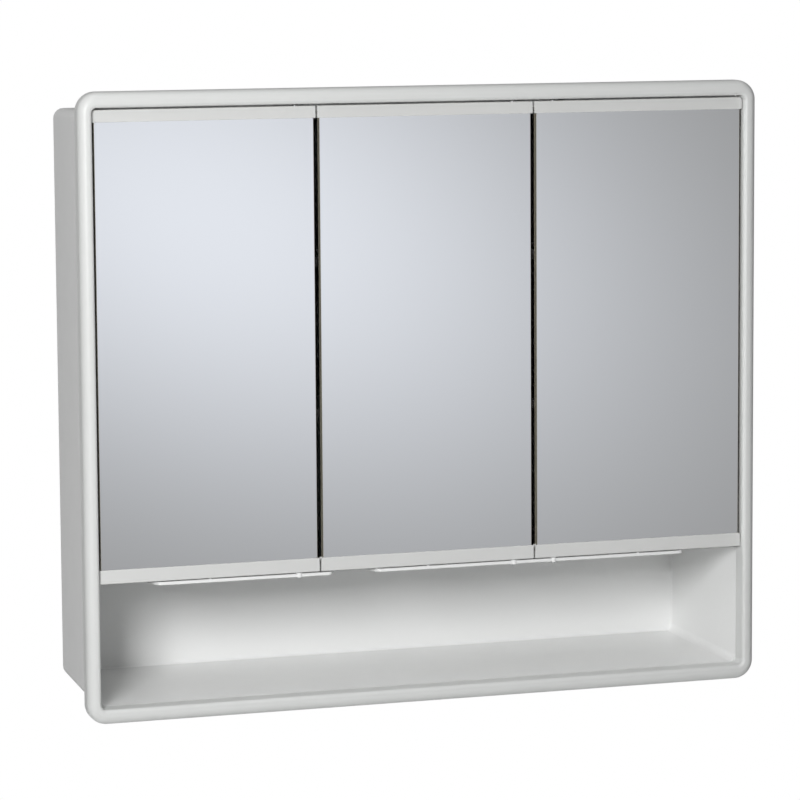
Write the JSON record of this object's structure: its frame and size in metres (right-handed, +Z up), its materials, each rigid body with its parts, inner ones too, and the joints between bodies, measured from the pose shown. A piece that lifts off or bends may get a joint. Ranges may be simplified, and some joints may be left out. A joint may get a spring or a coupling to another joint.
{
  "type": "mirror cabinet",
  "caption": "Wall-hung bathroom mirror cabinet: rounded white frame, hinged mirror doors over an open niche, drafted plastic housing with trays inside and sunk keyhole hangers.",
  "frame": {"origin": "middle of the back face, on the wall's plane", "axes": "+Y into the wall, +X to the right as seen from the room, +Z up"},
  "size_m": [0.68, 0.192, 0.6],
  "materials": {
    "housing_plastic": "satin moulded plastic, white",
    "frame_plastic": "smooth satin-gloss moulded plastic, white",
    "shelf_plastic": "satin moulded plastic, white",
    "rail_plastic": "satin extruded plastic, white",
    "mirror_glass": "silvered float glass with a dark painted back",
    "steel": "zinc-plated sheet, pins and rivets",
    "bush_plastic": "dark grey acetal"
  },
  "bodies": {
    "cabinet": {"rear_housing": "housing_plastic", "front_frame": "frame_plastic", "fixed_shelf": "shelf_plastic", "partition_left": "shelf_plastic", "partition_right": "shelf_plastic", "tray_left_lower": "shelf_plastic", "tray_left_upper": "shelf_plastic", "tray_middle_lower": "shelf_plastic", "tray_middle_upper": "shelf_plastic", "tray_right_lower": "shelf_plastic", "tray_right_upper": "shelf_plastic", "hanger_plate_left": "steel", "hanger_plate_right": "steel", "hanger_rivet_left_outer": "steel", "hanger_rivet_left_inner": "steel", "hanger_rivet_right_outer": "steel", "hanger_rivet_right_inner": "steel", "lower_pin_left": "steel", "upper_bush_left": "bush_plastic", "lower_pin_middle": "steel", "upper_bush_middle": "bush_plastic", "lower_pin_right": "steel", "upper_bush_right": "bush_plastic"},
    "door_left": {"mirror_left": "mirror_glass", "top_rail_left": "rail_plastic", "bottom_rail_left": "rail_plastic", "upper_pin_left": "steel"},
    "door_middle": {"mirror_middle": "mirror_glass", "top_rail_middle": "rail_plastic", "bottom_rail_middle": "rail_plastic", "upper_pin_middle": "steel"},
    "door_right": {"mirror_right": "mirror_glass", "top_rail_right": "rail_plastic", "bottom_rail_right": "rail_plastic", "upper_pin_right": "steel"}
  },
  "joints": [
    {"name": "door_left_hinge", "type": "hinge", "parent": "cabinet", "child": "door_left", "pos_m": [-0.12965, -0.182, 0.0589], "axis": [0, 0, 1], "range_deg": [0, 90]},
    {"name": "door_middle_hinge", "type": "hinge", "parent": "cabinet", "child": "door_middle", "pos_m": [0.08845, -0.182, 0.0589], "axis": [0, 0, 1], "range_deg": [0, 90]},
    {"name": "door_right_hinge", "type": "hinge", "parent": "cabinet", "child": "door_right", "pos_m": [0.12965, -0.182, 0.0589], "axis": [0, 0, -1], "range_deg": [0, 90]}
  ]
}
